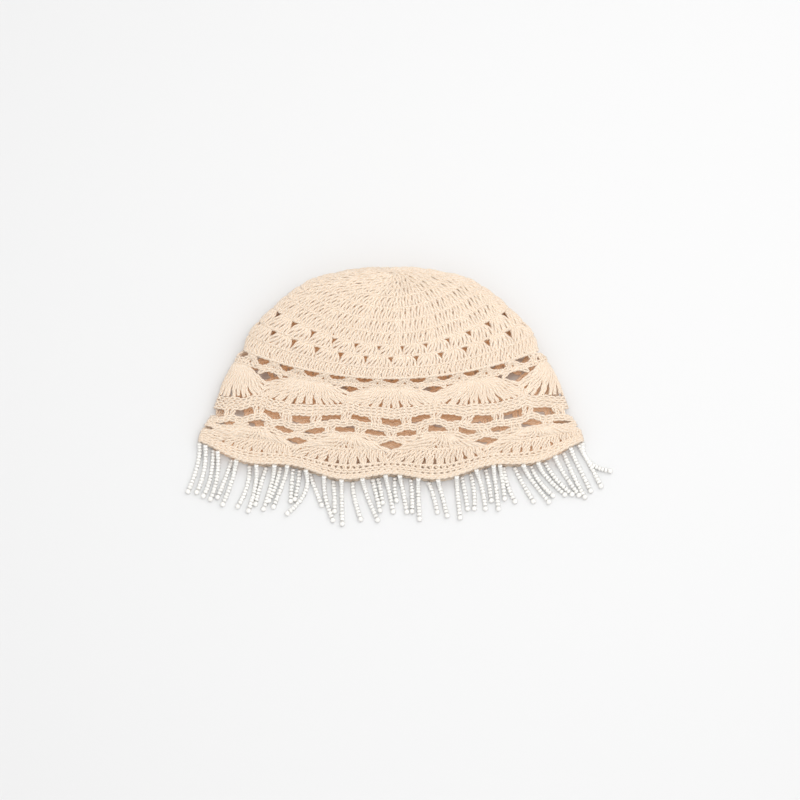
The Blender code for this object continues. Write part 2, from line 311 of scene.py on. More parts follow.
class Track:
    """Routes over the cloth, evenly stepped, that stitches are worked along."""

    def __init__(self, cloth: Cloth, share: np.ndarray, station: np.ndarray,
                 lift: float | np.ndarray = 0.0, steps: int = 49,
                 closed: bool = False) -> None:
        """Lay the routes.

        Args:
            cloth: The surface.
            share: Shares of the way round, shaped (routes, points) or (points,).
            station: Stations in the same shape.
            lift: How far out of the cloth's middle each point lies.
            steps: Points that each route is measured again with.
            closed: Whether the routes end where they start.
        """
        share, station, lift = np.broadcast_arrays(np.atleast_2d(share),
                                                   np.atleast_2d(station), lift)
        place, out = cloth.at(share, station)
        place = place + out * lift[..., None]
        run = np.linalg.norm(np.diff(place, axis=1), axis=2)
        run = np.concatenate([np.zeros((len(run), 1)), np.cumsum(run, axis=1)], axis=1)
        even = np.linspace(0, 1, steps)
        self.length = run[:, -1]
        self.centre, outs = (
            np.stack([along(length, row, even * length[-1])
                      for length, row in zip(run, values)]) for values in (place, out))
        self.out = unit(outs)
        tangent = np.gradient(self.centre, axis=1)
        if closed:
            tangent[:, 0] = tangent[:, -1] = self.centre[:, 1] - self.centre[:, -2]
        self.tangent = unit(tangent)
        self.side = unit(np.cross(self.out, self.tangent))
        self.up = np.cross(self.tangent, self.side)
        self.closed = closed

    def lay(self, param: np.ndarray, side: np.ndarray, up: np.ndarray) -> np.ndarray:
        """Points beside the routes.

        Args:
            param: Shares of the routes' length, shaped (points,) or (routes, points).
            side: How far beside the route each lies, within the cloth.
            up: How far out of the cloth each lies.

        Returns:
            Points, shaped (routes, points, 3).
        """
        count, steps = self.centre.shape[:2]
        param = np.broadcast_to(param, (count, np.shape(param)[-1]))
        if self.closed:
            param = param % 1.0
            over = np.zeros_like(param)
        else:
            over = param - np.clip(param, 0, 1)
            param = np.clip(param, 0, 1)
        spot = param * (steps - 1)
        i = np.minimum(spot.astype(int), steps - 2)
        f = (spot - i)[..., None]
        rows = np.arange(count)[:, None]

        def pick(values: np.ndarray) -> np.ndarray:
            """Values between two steps."""
            return values[rows, i] * (1 - f) + values[rows, i + 1] * f

        points = pick(self.centre) + pick(self.side) * np.asarray(side)[..., None]
        points = points + pick(self.up) * np.asarray(up)[..., None]
        return points + pick(self.tangent) * (over * self.length[:, None])[..., None]


# Yarn and its sweep


class NodeTree:
    """Short ways to add and join nodes in a tree."""

    def __init__(self, tree: bpy.types.NodeTree) -> None:
        """Keep the tree that the nodes go into."""
        self.tree = tree

    def feed(self, node: bpy.types.Node, feeds: dict[str | int, object]) -> None:
        """Link or set a node's inputs.

        Args:
            node: The node.
            feeds: A socket or a value for each input, by its name or number.
        """
        for key, value in feeds.items():
            if isinstance(value, bpy.types.NodeSocket):
                self.tree.links.new(value, node.inputs[key])
            else:
                node.inputs[key].default_value = value

    def add(self, kind: str, feeds: dict[str | int, object] | None = None,
            **settings: object) -> bpy.types.Node:
        """A new node.

        Args:
            kind: The node's type name.
            feeds: A socket or a value for each input, by its name or number.
            settings: Properties that are set on it first.

        Returns:
            The node.
        """
        node = self.tree.nodes.new(kind)
        for name, value in settings.items():
            setattr(node, name, value)
        self.feed(node, feeds or {})
        return node

    def math(self, operation: str, first: object, second: object = 0.0) -> object:
        """The output of one sum of sockets or numbers."""
        return self.add("ShaderNodeMath", {0: first, 1: second}, operation=operation).outputs[0]

    def mix(self, factor: object, first: object, second: object, **settings: str) -> object:
        """The output of a mix of two colours.

        Args:
            factor: The share of the second colour.
            first: The first colour.
            second: The second colour.
            settings: Properties of the node.

        Returns:
            The colour's socket.
        """
        node = self.add("ShaderNodeMix", data_type="RGBA", **settings)
        self.feed(node, {"Factor": factor, "A": first, "B": second})
        return node.outputs["Result"]

    def named(self, name: str, kind: str) -> object:
        """The socket of a stored attribute."""
        return self.add("GeometryNodeInputNamedAttribute", {"Name": name},
                        data_type=kind).outputs["Attribute"]

    def end(self, geometry: object, finish: object, output: str) -> None:
        """Make a tree's instances real, dress them and hand them out.

        Args:
            geometry: The geometry's socket.
            finish: The material's socket.
            output: The group's output.
        """
        real = self.add("GeometryNodeRealizeInstances", {"Geometry": geometry})
        dressed = self.add("GeometryNodeSetMaterial",
                           {"Geometry": real.outputs["Geometry"], "Material": finish})
        self.add("NodeGroupOutput", {output: dressed.outputs["Geometry"]})


def new_group(name: str, kind: str, takes: dict[str, str],
              gives: dict[str, str]) -> tuple[NodeTree, dict[str, str]]:
    """A new node group with its named sockets.

    Args:
        name: The group's name.
        kind: The type of its tree.
        takes: The type of each input, by its name.
        gives: The type of each output, by its name.

    Returns:
        The tree and the identifier of each socket, by its name.
    """
    tree = bpy.data.node_groups.new(name, kind)
    known = {}
    for way, sockets in (("INPUT", takes), ("OUTPUT", gives)):
        for label, form in sockets.items():
            made = tree.interface.new_socket(label, in_out=way,
                                             socket_type="NodeSocket" + form)
            known[label] = made.identifier
    return NodeTree(tree), known


class YarnSweep:
    """The Geometry Nodes tree that gives every route its round yarn."""

    RING = "ring_place"
    ALONG = "along"
    GIRTH = "girth"
    PLACE = "yarn_place"

    def __init__(self) -> None:
        """Build the tree once."""
        self.nodes, self.known = new_group(
            "yarn_sweep", "GeometryNodeTree",
            {"Routes": "Geometry", "Sides": "Int", "Yarn radius": "Float",
             "Finish": "Material"}, {"Yarn": "Geometry"})
        self._wire()

    def _store(self, name: str, geometry: object, value: object) -> object:
        """Store a vector on the points of a geometry, and give the new geometry.

        Args:
            name: The attribute's name.
            geometry: The geometry.
            value: The vector's socket.

        Returns:
            The new geometry's socket.
        """
        keep = self.nodes.add("GeometryNodeStoreNamedAttribute", data_type="FLOAT_VECTOR",
                              domain="POINT")
        self.nodes.feed(keep, {"Name": name, "Geometry": geometry, "Value": value})
        return keep.outputs["Geometry"]

    def _wire(self) -> None:
        """Routes become curves, curves round yarn with its place stored on it."""
        nodes = self.nodes
        given = nodes.add("NodeGroupInput").outputs
        curves = nodes.add("GeometryNodeMeshToCurve", {"Mesh": given["Routes"]})
        circle = nodes.add("GeometryNodeCurvePrimitiveCircle",
                           {"Resolution": given["Sides"], "Radius": 1.0})
        spot = nodes.add("GeometryNodeInputPosition")
        ring = self._store(self.RING, circle.outputs["Curve"], spot.outputs["Position"])
        thick = nodes.math("MULTIPLY", nodes.named(self.GIRTH, "FLOAT"),
                           given["Yarn radius"])
        sweep = nodes.add("GeometryNodeCurveToMesh",
                          {"Curve": curves.outputs["Curve"], "Profile Curve": ring,
                           "Scale": thick, "Fill Caps": True})
        split = nodes.add("ShaderNodeSeparateXYZ", {0: nodes.named(self.RING, "FLOAT_VECTOR")})
        place = nodes.add("ShaderNodeCombineXYZ",
                          {"X": split.outputs["X"], "Y": split.outputs["Y"],
                           "Z": nodes.named(self.ALONG, "FLOAT")})
        marked = self._store(self.PLACE, sweep.outputs["Mesh"], place.outputs["Vector"])
        even = nodes.add("GeometryNodeSetShadeSmooth", {"Geometry": marked})
        nodes.end(even.outputs["Geometry"], given["Finish"], "Yarn")

    def make(self, yarn: "Yarn", finish: bpy.types.Material) -> bpy.types.Object:
        """Sweep a piece's strands into one plain mesh object, linked to the scene.

        Args:
            yarn: The piece's strands.
            finish: The material.

        Returns:
            The piece.
        """
        return evaluated(yarn.name, yarn.routes(), self.nodes.tree,
                         {self.known["Sides"]: yarn.sides,
                          self.known["Yarn radius"]: yarn.radius,
                          self.known["Finish"]: finish})


def evaluated(name: str, data: bpy.types.Mesh, tree: bpy.types.NodeTree,
              inputs: dict[str, object]) -> bpy.types.Object:
    """Runs a Geometry Nodes tree over a mesh and keeps what it makes as a plain mesh.

    Args:
        name: The new object's name.
        data: The mesh that the tree works on.
        tree: The tree.
        inputs: The modifier's inputs, by the socket's identifier.

    Returns:
        The object, linked to the scene, with no modifier left on it.
    """
    holder = bpy.data.objects.new(name + "_routes", data)
    bpy.context.scene.collection.objects.link(holder)
    modifier = holder.modifiers.new("make", "NODES")
    modifier.node_group = tree
    for identifier, value in inputs.items():
        modifier[identifier] = value
    graph = bpy.context.evaluated_depsgraph_get()
    made = bpy.data.meshes.new_from_object(holder.evaluated_get(graph), depsgraph=graph)
    made.name = name
    bpy.data.objects.remove(holder)
    bpy.data.meshes.remove(data)
    piece = bpy.data.objects.new(name, made)
    bpy.context.scene.collection.objects.link(piece)
    return piece


@dataclass
class Yarn:
    """The strands of one piece, gathered before they are swept."""

    name: str
    radius: float = 0.00080
    sides: int = 6
    floor: float = 0.0002
    strands: list[tuple[np.ndarray, float]] = field(default_factory=list)

    def add(self, points: np.ndarray, girth: float = 1.0) -> None:
        """Take in strands.

        Args:
            points: Points, shaped (strands, points, 3).
            girth: Their thickness against the yarn's.
        """
        points = np.array(points, dtype=float)
        rest = self.floor + self.radius * girth
        points[..., 2] = np.maximum(points[..., 2], rest)
        self.strands.append((points, girth))

    def routes(self) -> bpy.types.Mesh:
        """The strands as one mesh of edges, each point with its girth and place.

        Returns:
            The mesh.
        """
        places, edges, runs, girth = [], [], [], []
        start = 0
        for points, thick in self.strands:
            count, steps = points.shape[:2]
            run = np.linalg.norm(np.diff(points, axis=1), axis=2)
            run = np.concatenate([np.zeros((count, 1)), np.cumsum(run, axis=1)], axis=1)
            offset = (np.arange(count) * 0.37 % 1.0)[:, None] * 0.01
            places.append(points.reshape(-1, 3))
            runs.append((run + offset).ravel())
            girth.append(np.full(count * steps, thick))
            index = start + np.arange(count * steps).reshape(count, steps)
            edges.append(np.stack([index[:, :-1], index[:, 1:]], axis=2).reshape(-1, 2))
            start += count * steps
        data = bpy.data.meshes.new(self.name + "_routes")
        data.vertices.add(start)
        data.vertices.foreach_set("co", np.concatenate(places).ravel())
        joined = np.concatenate(edges)
        data.edges.add(len(joined))
        data.edges.foreach_set("vertices", joined.ravel())
        for label, values in ((YarnSweep.ALONG, runs), (YarnSweep.GIRTH, girth)):
            kept = data.attributes.new(label, "FLOAT", "POINT")
            kept.data.foreach_set("value", np.concatenate(values))
        return data


# Stitches


@dataclass(frozen=True)
class PostForm:
    """How wide a post is, from its foot to its top, against its mean width."""

    places: tuple[float, ...]
    widths: tuple[float, ...]


PLAIN_POST = PostForm((0.0, 0.2, 0.5, 0.8, 1.0), (0.92, 1.12, 1.10, 0.82, 0.92))
SHORT_POST = PostForm((0.0, 0.3, 0.62, 0.86, 1.0), (1.05, 1.10, 1.02, 0.74, 0.74))
SPREAD_POST = PostForm((0.0, 0.3, 0.7, 1.0), (0.58, 0.90, 1.08, 0.92))
RAY_POST = PostForm((0.0, 0.25, 0.6, 0.86, 1.0), (0.55, 0.90, 1.12, 0.80, 0.80))


Spots = tuple[np.ndarray, np.ndarray | float]


@dataclass
class Stitches:
    """The stitches that the cap is worked in, each made of strands of one yarn."""

    cloth: Cloth
    yarn: Yarn
    seed: int = 7
    arm_lift: float = 0.00042
    flatness: float = 0.42
    uneven_share: float = 0.0006
    uneven_station: float = 0.02

    def __post_init__(self) -> None:
        """Start the small unevenness of hand work from a fixed seed."""
        self.chance = np.random.default_rng(self.seed)

    def posts(self, base: Spots, tip: Spots, width: float = 0.0040,
              form: PostForm = PLAIN_POST, strands: int = 3, turns: float = 0.85,
              points: int = 7, bend: np.ndarray | float = 1.0, puff: float = 0.0,
              girth: float = 1.0) -> None:
        """Work posts, each of strands that turn about one another.

        Args:
            base: Shares and stations where the posts come out of the round before.
            tip: Shares and stations where they end.
            width: How wide a post is.
            form: How the width changes along it.
            strands: Strands in a post.
            turns: How often the strands turn about one another.
            points: Points of each strand.
            bend: Power that the station grows by along the post; 1 is a straight post.
            puff: How far the middle of a post stands out of the cloth.
            girth: The strands' thickness against the yarn's.
        """
        base_share, base_station, tip_share, tip_station, bend = (
            np.ravel(v)[:, None] for v in np.broadcast_arrays(*base, *tip, bend))
        s = np.linspace(0, 1, 25)[None, :]
        stray = self.chance.normal(0, self.uneven_share, base_share.shape)
        short = self.chance.normal(0, self.uneven_station, base_share.shape)
        share = base_share + (tip_share + stray - base_share) * s
        station = base_station + (tip_station + short - base_station) * s ** bend
        lift = np.interp(s, [0, 0.16, 0.6, 1], [-0.6, 0.0, 0.1, -0.1]) * MM
        lift = lift + puff * np.sin(math.pi * s) + np.zeros_like(share)
        track = Track(self.cloth, share, station, lift, steps=25)
        phase = self.chance.uniform(-0.6, 0.6, len(share))[:, None]
        fuller = self.chance.normal(1.0, 0.05, len(share))[:, None]
        param = np.linspace(0, 1, points)
        spread = fuller * (width / 2 * np.interp(param, form.places, form.widths)
                           - self.yarn.radius)
        for strand in range(strands):
            angle = phase + TURN * (turns * param + strand / strands)
            self.yarn.add(track.lay(param, spread * np.cos(angle),
                                    spread * self.flatness * np.sin(angle)), girth)

    def braid(self, track: Track, count: int, lift: float | None = None) -> None:
        """Work the tops of a round, two arms to a stitch.

        Args:
            track: The round.
            count: Its stitches.
            lift: How far the arms stand out of the cloth.
        """
        lift = self.arm_lift if lift is None else lift
        reach = np.array([-0.55, -0.22, 0.12, 0.46, 0.78])
        rise = np.array([0.05, 0.72, 1.00, 0.80, 0.10]) * lift
        slant = np.array([-0.45, -0.10, 0.25, 0.30, -0.25]) * MM
        param = ((np.arange(count)[:, None] + reach) / count).reshape(-1)
        for way, finer in ((1, 2), (-1, 1)):
            laid = track.lay(param, np.tile(slant * way, count), np.tile(rise * way, count))
            self.yarn.add(smooth(laid.reshape(-1, len(reach), 3), finer))

    def chain(self, track: Track, count: int, width: float = 0.0010,
              lift: float = 0.0) -> None:
        """Work chain stitches along routes, each a loop through the one before.

        Args:
            track: The routes.
            count: Stitches on each route.
            width: How far each arm lies beside the route.
            lift: How far the whole chain stands out of the cloth.
        """
        index = np.arange(count)[:, None]
        reach = np.array([-0.22, 0.12, 0.50, 0.86, 1.12, 0.86, 0.50, 0.12, -0.22])
        side = np.array([0.25, 0.62, 1.00, 0.78, 0.00, -0.78, -1.00, -0.62, -0.25]) * width
        up = np.array([-0.55, -0.05, 0.32, 0.55, 0.48, 0.55, 0.32, -0.05, -0.55]) * MM
        back = np.array([0.05, 0.5, 0.95])
        under = np.array([-0.35, -0.85, -0.35]) * MM
        for steps, beside, above in ((reach, side, up), (back, 0 * back, under)):
            laid = track.lay(((index + steps) / count).reshape(-1), np.tile(beside, count),
                             np.tile(above + lift, count))
            self.yarn.add(laid.reshape(-1, len(steps), 3))

    def line(self, share: np.ndarray, station: np.ndarray, steps: int = 49) -> Track:
        """Open routes through shares and stations, a row to a route."""
        share, station = np.broadcast_arrays(share, station)
        return Track(self.cloth, share, station, steps=steps)

    def ring(self, station: np.ndarray | float, lift: float = 0.0) -> Track:
        """A whole round of the cap, at one station or at one for each of its shares."""
        return Track(self.cloth, self.cloth.shares, station, lift,
                     steps=len(self.cloth.shares), closed=True)


# The worked parts


@dataclass
class WorkedPart:
    """A part of the cap that is worked in yarn and made as one piece."""

    cloth: Cloth
    sweep: YarnSweep
    finish: bpy.types.Material
    name: str = "worked_part"
    arches: int = 24
    fans: int = 8

    def work(self, stitches: Stitches) -> None:
        """Work the stitches of this part."""
        raise NotImplementedError

    def build(self) -> bpy.types.Object:
        """Work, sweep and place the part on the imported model.

        Returns:
            The finished piece.
        """
        yarn = Yarn(self.name)
        self.work(Stitches(self.cloth, yarn))
        piece = self.sweep.make(yarn, self.finish)
        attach(piece, "root")
        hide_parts(Node.CAP.value)
        report(piece)
        return piece


def report(piece: bpy.types.Object) -> None:
    """Log a piece's name and its count of triangles."""
    triangles = sum(len(face.vertices) - 2 for face in piece.data.polygons)
    LOG.info("%s: %d triangles", piece.name, triangles)


@dataclass
class Crown(WorkedPart):
    """Seven plain rounds of tall stitches, growing by the same number each round."""

    name: str = "crown"
    rounds: int = 7
    growth: int = 14
    lean: float = 0.3
    widths: tuple[float, float] = (0.0060, 0.0051)

    def work(self, stitches: Stitches) -> None:
        """Work the closing ring and the rounds.

        Args:
            stitches: The stitches to work with.
        """
        stitches.chain(stitches.ring(0.24), count=6, width=0.0008)
        for number in range(1, self.rounds + 1):
            count = self.growth * number
            index = np.arange(count)
            before = max(count - self.growth, self.growth)
            base = (np.floor(index * before / count) + 0.5) / before
            tip = (index + 0.5) / count + self.lean / count
            base = base + (tip - base) * 0.25 + (self.lean * 0.4) / count
            start = 0.3 if number == 1 else number - 0.98
            width = float(np.interp(number, [1, self.rounds], self.widths))
            stitches.posts((base, start),
                           (tip, number - 0.05), width=width, strands=4,
                           turns=0.5, points=6, girth=1.16)
            stitches.braid(stitches.ring(number - 0.03), count)


@dataclass
class ClusterRounds(WorkedPart):
    """Two rounds of groups with a gap above each, and the plain round below them."""

    name: str = "cluster_rounds"
    group: int = 4
    foot: float = 0.20
    top: float = 0.385
    plain_count: int = 120

    def groups(self, stitches: Stitches, start: float, phase: float) -> None:
        """One round of groups, gathered at the foot and spread at the top.

        Args:
            stitches: The stitches to work with.
            start: The station that the round starts at.
            phase: Where the first group stands, in shares of a group's room.
        """
        middle = (np.arange(self.arches)[:, None] + phase) / self.arches
        place = np.linspace(-1, 1, self.group)[None, :]
        room = 1 / self.arches
        stitches.posts((middle + place * room * self.foot, start + 0.02),
                       (middle + place * room * self.top, start + 0.94),
                       width=0.0054, form=SPREAD_POST, bend=1.7, strands=4,
                       turns=0.45, girth=1.25)
        stitches.braid(stitches.ring(start + 0.96), self.arches * self.group)

    def work(self, stitches: Stitches) -> None:
        """Work both rounds and the plain round below them.

        Args:
            stitches: The stitches to work with.
        """
        self.groups(stitches, 7.0, 0.0)
        self.groups(stitches, 8.0, 0.5)
        index = np.arange(self.plain_count)
        stitches.posts(((index + 0.5) / self.plain_count, 9.0),
                       ((index + 0.8) / self.plain_count, 9.95),
                       width=0.0043, turns=0.7, girth=1.1)
        stitches.braid(stitches.ring(9.97), self.plain_count)


@dataclass
class Arches(WorkedPart):
    """A round of flat chain arches below the dome's edge, with a slit in each."""

    name: str = "arches"
    start: float = 10.3
    sill: float = 11.04

    def work(self, stitches: Stitches) -> None:
        """Work the arches, the round below, and the stitches that each arch hangs from.

        Args:
            stitches: The stitches to work with.
        """
        middle = np.arange(self.arches)[:, None] / self.arches
        s = np.linspace(-1, 1, 33)[None, :]
        share = middle + s * 0.5 / self.arches
        station = self.start + (self.sill - self.start) * (1 - np.abs(s) ** 2.6)
        station = station + 0.05 * self.cloth.stray(share, 5)
        stitches.chain(stitches.line(share, station), count=6)
        stitches.chain(stitches.ring(self.sill + 0.06), count=self.arches * 6,
                       width=0.00105, lift=-0.0003)
        between = (np.arange(self.fans)[:, None] + 0.5) / self.fans
        stitches.chain(stitches.line(between + s * 0.45 / self.arches,
                                     self.sill + 0.02 + 0.20 * np.abs(s) ** 1.6), count=5)
        knots = (np.arange(self.arches)[:, None] + 0.5) / self.arches
        step = np.array([[-0.08, 0.08]]) / self.arches
        stitches.posts((knots + step, 9.98),
                       (knots + step * 1.6, 11.10), width=0.0044,
                       turns=0.6, points=6)


@dataclass
class UpperFans(WorkedPart):
    """Eight shells of long stitches that meet their neighbours, their tips in pairs."""

    name: str = "upper_fans"
    pairs: int = 8
    start: float = 11.14
    edge: float = 12.06
    droop: float = 0.20
    foot: float = 0.30
    pinch: float = 0.19

    def edge_at(self, place: np.ndarray) -> np.ndarray:
        """The station of a shell's edge, by place from -1 to 1 across it."""
        return self.edge - self.droop * place ** 2

    def work(self, stitches: Stitches) -> None:
        """Work the rays of each shell and the rounds along the shells' edges.

        Args:
            stitches: The stitches to work with.
        """
        middle = np.arange(self.fans)[:, None] / self.fans
        half = 0.5 / self.fans
        pair = (np.arange(self.pairs * 2) // 2 + 0.5) / self.pairs * 2 - 1
        twin = np.where(np.arange(self.pairs * 2) % 2 == 0, -1, 1)
        place = (pair + twin * self.pinch / self.pairs * 2)[None, :]
        even = ((np.arange(self.pairs * 2) + 0.5) / self.pairs - 1)[None, :]
        stitches.posts((middle + even * half * self.foot, self.start),
                       (middle + place * half, self.edge_at(place) - 0.02),
                       width=0.0037, form=RAY_POST, turns=1.5, points=13,
                       bend=1 - 0.25 * even ** 2, puff=0.0004)
        outer = np.array([[-1.0, -1.0, -1.0, 1.0, 1.0, 1.0]])
        rise = np.array([[11.53, 11.68, 11.82, 11.82, 11.68, 11.53]])
        droop = np.array([[0.75, 0.75, 0.80, 0.80, 0.75, 0.75]])
        stitches.posts((middle + outer * half * (self.foot + 0.02), self.start - 0.02),
                       (middle + outer * half * 1.01, rise),
                       width=0.0036, form=RAY_POST, turns=1.2, points=11, bend=droop)
        between = middle[:, 0] + half
        stitches.posts((between, 11.56),
                       (between, 12.06), width=0.0050)
        across = np.linspace(-1, 1, 49)[None, :]
        for place, droop in ((self.edge + 0.06, self.droop), (self.edge + 0.20, 0.22),
                             (self.edge + 0.34, 0.23)):
            share = middle + across * half
            station = place - droop * across ** 2 + 0.035 * self.cloth.stray(share, 1)
            stitches.chain(stitches.line(share, station, steps=97), count=15,
                           width=0.00105)


@dataclass
class Mesh(WorkedPart):
    """Two rounds of flat arches between the two tiers of shells."""

    name: str = "mesh"
    links: int = 118
    pillar_width: float = 0.0042
    lean: float = 0.10

    def upper_bar(self, share: np.ndarray) -> np.ndarray:
        """The station of the bar between the two rounds of openings."""
        sag = 0.04 * np.cos(TURN * self.arches * share)
        return 12.75 + 0.13 * self.cloth.wave(share) + sag + 0.06 * self.cloth.stray(share, 2)

    def lower_bar(self, share: np.ndarray) -> np.ndarray:
        """The station of the bar that carries the lower shells."""
        sag = 0.05 * np.cos(TURN * self.arches * share)
        return 13.33 + 0.15 * self.cloth.wave(share) - sag + 0.05 * self.cloth.stray(share, 3)

    def pillars(self, stitches: Stitches, places: np.ndarray, start: np.ndarray,
                end: np.ndarray) -> None:
        """Work pillars of two stitches each.

        Args:
            stitches: The stitches to work with.
            places: Shares that the pillars stand at.
            start: Stations of their feet.
            end: Stations of their tops.
        """
        step = np.array([[-0.08, 0.08]]) / self.arches
        lean = self.lean * self.cloth.stray(places, 4)[:, None] / self.arches
        stitches.posts((places[:, None] + step * 1.5 - lean, start[:, None]),
                       (places[:, None] + step + lean, end[:, None]),
                       width=self.pillar_width, strands=3, turns=0.6, points=6)

    def work(self, stitches: Stitches) -> None:
        """Work both rounds and the bars that carry the lower shells.

        Args:
            stitches: The stitches to work with.
        """
        knots = (np.arange(self.arches) + 0.5) / self.arches
        self.pillars(stitches, knots, 12.30 + 0.10 * self.cloth.wave(knots),
                     self.upper_bar(knots))
        share = self.cloth.shares
        for step in (0.0, 0.12):
            stitches.chain(stitches.ring(self.upper_bar(share) + step), count=self.links,
                           width=0.00105)
        posts = np.arange(self.arches) / self.arches
        self.pillars(stitches, posts, self.upper_bar(posts) + 0.12, self.lower_bar(posts))
        stitches.chain(stitches.ring(self.lower_bar(share)), count=self.links,
                       width=0.00115)
        tops = np.arange(self.fans)[:, None] / self.fans
        s = np.linspace(-1, 1, 33)[None, :]
        station = 13.45 + 0.62 * np.abs(s) ** 0.9
        stitches.chain(stitches.line(tops + s * 1.05 / self.arches, station),
                       count=11)


@dataclass
class LowerFans(WorkedPart):
    """Eight shells in two tiers: a close tier, and one whose tips stand in pairs."""

    name: str = "lower_fans"
    rays: int = 15
    pairs: int = 9
    start: float = 13.20
    ridge: float = 14.02
    edge: float = 15.00
    pinch: float = 0.17

    def ridge_at(self, place: np.ndarray) -> np.ndarray:
        """The station of the first tier's edge, by place from -1 to 1 across a shell."""
        return self.ridge + 0.28 * place ** 4

    def work(self, stitches: Stitches) -> None:
        """Work both tiers and the round between them.

        Args:
            stitches: The stitches to work with.
        """
        middle = (np.arange(self.fans)[:, None] + 0.5) / self.fans
        half = 0.5 / self.fans
        place = np.linspace(-1, 1, self.rays)[None, :]
        stitches.posts((middle + place * half * 0.17, self.start),
                       (middle + place * half * 0.985, self.ridge_at(place)),
                       width=0.0046, form=RAY_POST, turns=1.2, points=11,
                       bend=1 - 0.18 * place ** 2, puff=0.0007)
        side = np.array([[-1.0, 1.0]])
        stitches.posts((middle + side * half * 0.17, self.start),
                       (middle + side * half * 0.76, 13.72), width=0.0046,
                       form=RAY_POST, points=9, bend=0.9)
        across = np.linspace(-1, 1, 49)[None, :]
        route = stitches.line(middle + across * half,
                              self.ridge_at(across) + 0.03, steps=97)
        stitches.braid(route, self.pairs * 2, lift=0.0003)
        pair = (np.arange(self.pairs * 2) // 2 + 0.5) / self.pairs * 2 - 1
        twin = np.where(np.arange(self.pairs * 2) % 2 == 0, -1, 1)
        close = stitches.chance.uniform(0.6, 1.45, (self.fans, self.pairs)).repeat(2, axis=1)
        tip = pair + close * twin * self.pinch / self.pairs * 2
        even = ((np.arange(self.pairs * 2) + 0.5) / self.pairs - 1)[None, :]
        stitches.posts((middle + even * half * 0.82, self.ridge_at(even * 0.82) + 0.05),
                       (middle + tip * half, self.edge),
                       width=0.0042, form=SHORT_POST, turns=1.0, points=9, puff=0.0006)
        between = middle + half + np.array([[-0.06, 0.06]]) / self.arches
        stitches.posts((between, 14.30),
                       (between, self.edge), width=0.0048)
        stitches.braid(stitches.ring(self.edge), self.fans * self.pairs * 2)


@dataclass
class Hem(WorkedPart):
    """The two rounds of edging, the last of them the one that carries the strings."""

    name: str = "hem_edging"
    count: int = 126

    def work(self, stitches: Stitches) -> None:
        """Work two rounds of short stitches and the chain along the edge.

        Args:
            stitches: The stitches to work with.
        """
        index = np.arange(self.count)
        for start, end in ((15.02, 15.40), (15.48, 15.88)):
            stitches.posts(((index + 0.5) / self.count, start),
                           ((index + 0.7) / self.count, end),
                           width=0.0040, strands=2, turns=0.5, points=5)
            stitches.chain(stitches.ring(end + 0.03, lift=0.0003), count=self.count)
        stitches.chain(stitches.ring(16.0), count=self.count, width=0.0011)


# The fringe


@dataclass(frozen=True)
class BeadString:
    """One string: its layer, where it starts on the hem, and its bend and tip from there."""

    layer: Layer
    hem_x: float
    bend_x: float
    bend_y: float
    tip_x: float
    tip_y: float


